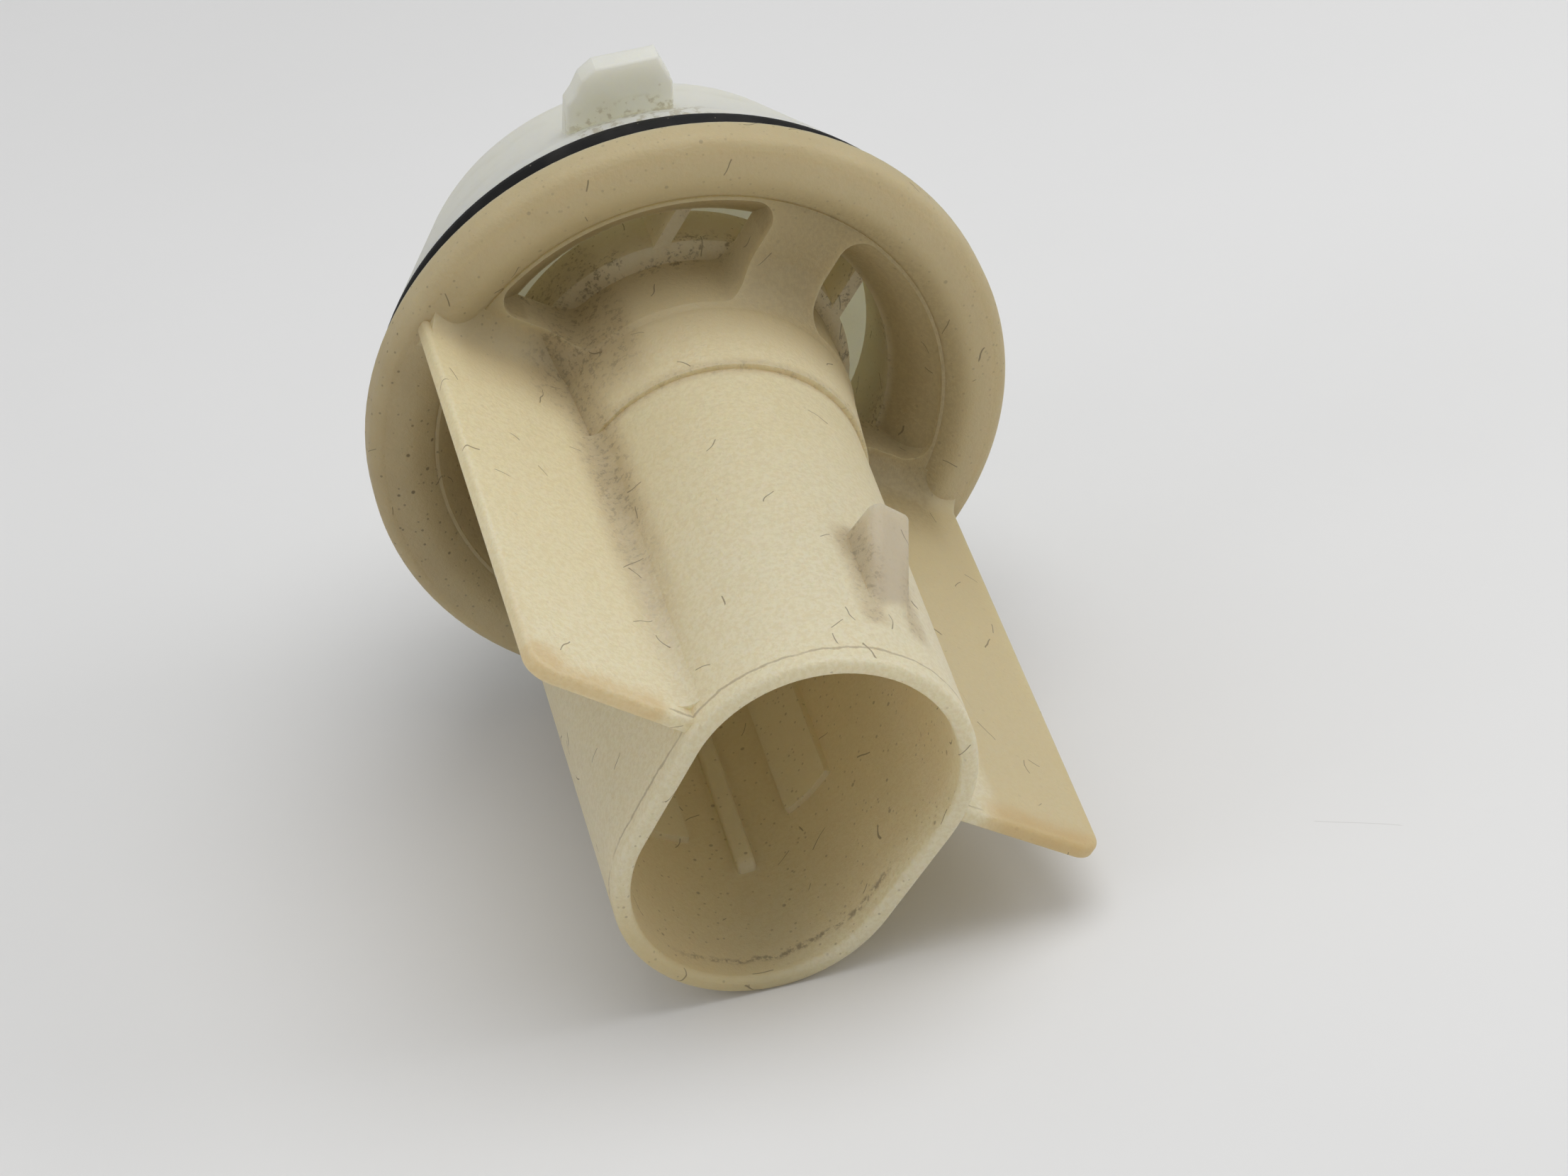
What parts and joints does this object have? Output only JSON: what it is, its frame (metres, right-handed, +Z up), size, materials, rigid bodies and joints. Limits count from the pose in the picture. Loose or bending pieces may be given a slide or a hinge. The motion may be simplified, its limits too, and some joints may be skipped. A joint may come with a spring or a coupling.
{
  "type": "drain pump strainer plug",
  "caption": "Moulded strainer insert with a straight-sided oval duct, flat side wings and a windowed flange, a rubber sealing ring, and a twist-lock cap with two lugs and a grip bar.",
  "frame": {"origin": "on the plug's axis, at the middle of the flange's cylindrical edge", "axes": "+Y along the plug's axis from the mouth to the grip, +Z up through the cap's upper lug, +X to the right seen from the mouth"},
  "size_m": [0.076, 0.1116, 0.0822],
  "materials": {
    "insert_plastic": "aged translucent moulded plastic, fine grain",
    "ring_rubber": "matte black rubber",
    "cap_plastic": "translucent natural moulded plastic, satin"
  },
  "bodies": {
    "insert": {"strainer_insert": "insert_plastic", "sealing_ring": "ring_rubber"},
    "cap": {"locking_cap": "cap_plastic"}
  },
  "joints": [
    {"name": "cap_turn", "type": "hinge", "parent": "insert", "child": "cap", "pos_m": [0, 0.0126, 0], "axis": [0, -1, 0], "range_deg": [0, 60]}
  ]
}
